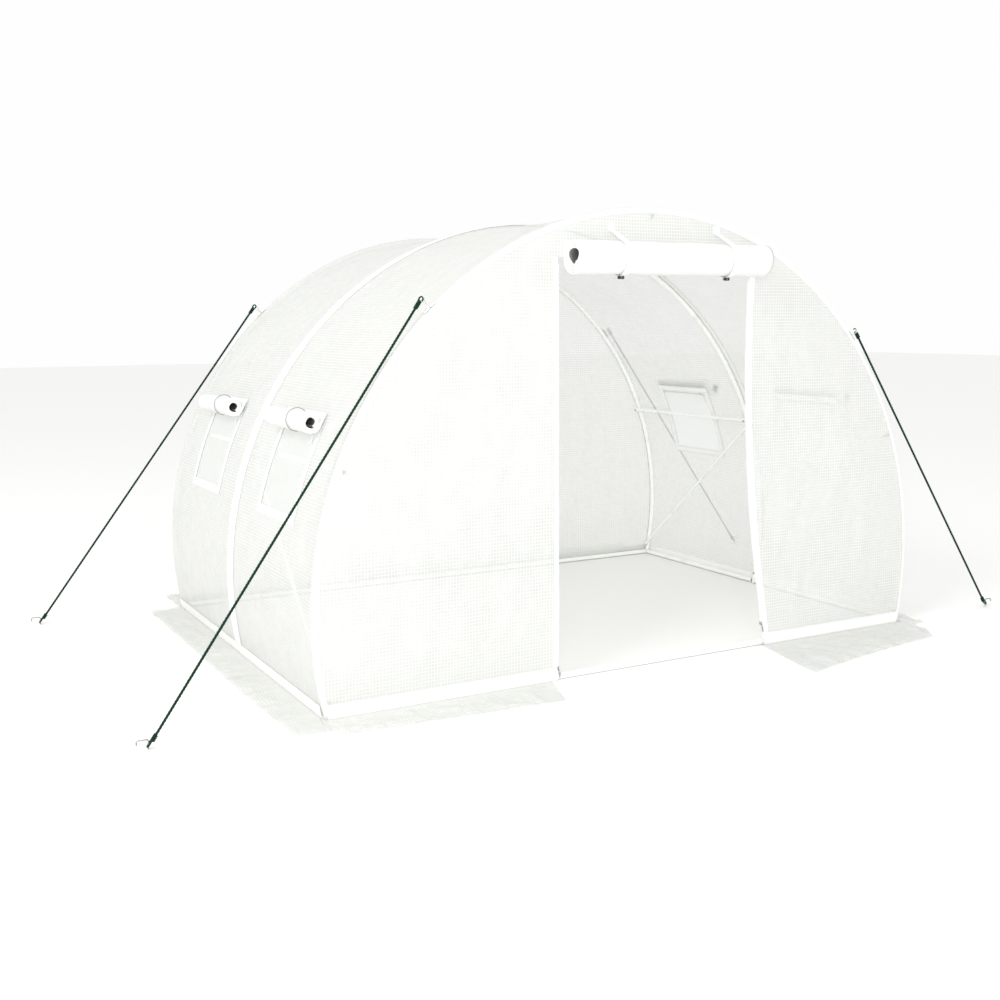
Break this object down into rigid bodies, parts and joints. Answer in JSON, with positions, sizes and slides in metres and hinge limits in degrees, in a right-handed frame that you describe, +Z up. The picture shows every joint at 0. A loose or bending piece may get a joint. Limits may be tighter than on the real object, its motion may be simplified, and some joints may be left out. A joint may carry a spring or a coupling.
{
  "type": "polytunnel greenhouse",
  "caption": "Walk-in tunnel greenhouse: steel tube arches under translucent reinforced film, with a roll-up zip door, mesh windows, ground skirts and guy ropes.",
  "frame": {"origin": "on the ground, at the middle of the object's outline seen from above, midway between the front and rear arches and between the left and right sides", "axes": "+X to the right seen from the front, +Y from the door towards the rear end, +Z up"},
  "size_m": [4.549, 3.0456, 1.9864],
  "materials": {
    "white_tube": "white powder-coated steel tube",
    "cover_film": "translucent reinforced polyethylene film",
    "rolled_film": "several turns of the same film",
    "window_mesh": "fine white insect mesh",
    "white_webbing": "woven white webbing",
    "dark_plastic": "moulded dark plastic",
    "zip_chain": "nylon zip teeth on tape",
    "green_rope": "twisted dark green rope",
    "peg_wire": "bent galvanised wire"
  },
  "bodies": {
    "root": {"door_roll": "rolled_film", "door_straps": "white_webbing", "door_toggles": "dark_plastic", "door_zips": "zip_chain", "front_arch": "white_tube", "front_base_rail": "white_tube", "front_left_panel": "cover_film", "front_left_skirt": "cover_film", "front_right_panel": "cover_film", "front_right_skirt": "cover_film", "front_top_panel": "cover_film", "guy_rope_front_left": "green_rope", "guy_rope_front_right": "green_rope", "guy_rope_rear_left": "green_rope", "guy_rope_rear_right": "green_rope", "left_base_rail": "white_tube", "left_brace": "white_tube", "left_front_cover": "cover_film", "left_front_mesh": "window_mesh", "left_front_roll": "rolled_film", "left_front_skirt": "cover_film", "left_purlin": "white_tube", "left_rear_cover": "cover_film", "left_rear_mesh": "window_mesh", "left_rear_roll": "rolled_film", "left_rear_skirt": "cover_film", "middle_arch": "white_tube", "middle_band": "white_webbing", "peg_front_left": "peg_wire", "peg_front_right": "peg_wire", "peg_rear_left": "peg_wire", "peg_rear_right": "peg_wire", "rear_arch": "white_tube", "rear_base_rail": "white_tube", "rear_skirt": "cover_film", "rear_wall": "cover_film", "ridge_purlin": "white_tube", "right_base_rail": "white_tube", "right_brace": "white_tube", "right_front_cover": "cover_film", "right_front_mesh": "window_mesh", "right_front_roll": "rolled_film", "right_front_skirt": "cover_film", "right_purlin": "white_tube", "right_rear_cover": "cover_film", "right_rear_mesh": "window_mesh", "right_rear_roll": "rolled_film", "right_rear_skirt": "cover_film", "rope_tabs": "white_webbing"}
  },
  "joints": []
}
